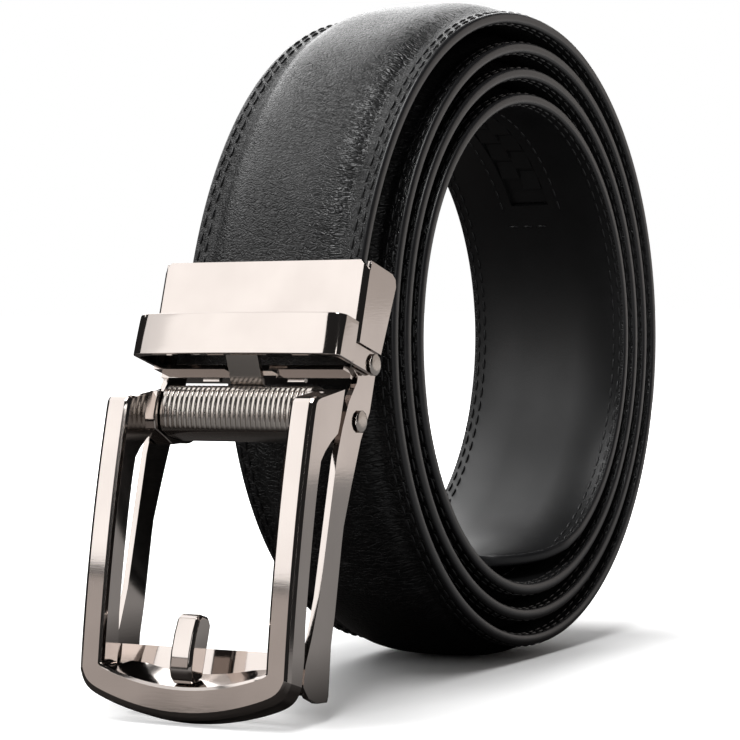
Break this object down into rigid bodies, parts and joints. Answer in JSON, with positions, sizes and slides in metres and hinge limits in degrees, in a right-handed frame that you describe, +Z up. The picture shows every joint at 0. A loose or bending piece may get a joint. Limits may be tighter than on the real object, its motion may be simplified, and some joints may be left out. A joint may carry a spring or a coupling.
{
  "type": "ratchet belt",
  "caption": "Padded leather belt with a sliding ratchet buckle, rolled into a coil that stands on its rim with the open-frame buckle in front.",
  "frame": {"origin": "on the floor, under the middle of the whole rolled belt", "axes": "+Z up, +X along the coil's axis across the strap, -Y towards the buckle's front"},
  "size_m": [0.043, 0.159, 0.1255],
  "materials": {
    "strap_outer": "milled pebble grain, satin",
    "strap_backing": "smooth lining leather, soft sheen",
    "ratchet_track": "moulded nylon, satin",
    "buckle_metal": "polished gunmetal plating on zinc alloy",
    "inner_steel": "plated steel, fine satin"
  },
  "bodies": {
    "belt": {"strap_outer": "strap_outer", "strap_backing": "strap_backing", "ratchet_track": "ratchet_track", "clamp_box": "buckle_metal", "keeper_loop": "buckle_metal", "base_frame": "buckle_metal", "rivet_upper_left": "inner_steel", "rivet_upper_right": "inner_steel", "rivet_lower_left": "inner_steel", "rivet_lower_right": "inner_steel"},
    "frame": {"buckle_frame": "buckle_metal", "heel_bar": "inner_steel", "pawl": "inner_steel", "prong": "buckle_metal"},
    "jaw": {"clamp_jaw": "inner_steel"}
  },
  "joints": [
    {"name": "frame_hinge", "type": "hinge", "parent": "belt", "child": "frame", "pos_m": [0, -0.05274, 0.0492], "axis": [-1, 0, 0], "range_deg": [0, 12], "stiffness_Nm_per_rad": 0.15, "springref_deg": -24.98},
    {"name": "jaw_hinge", "type": "hinge", "parent": "belt", "child": "jaw", "pos_m": [0, -0.04286, 0.07206], "axis": [1, 0, 0], "range_deg": [0, 30]}
  ]
}
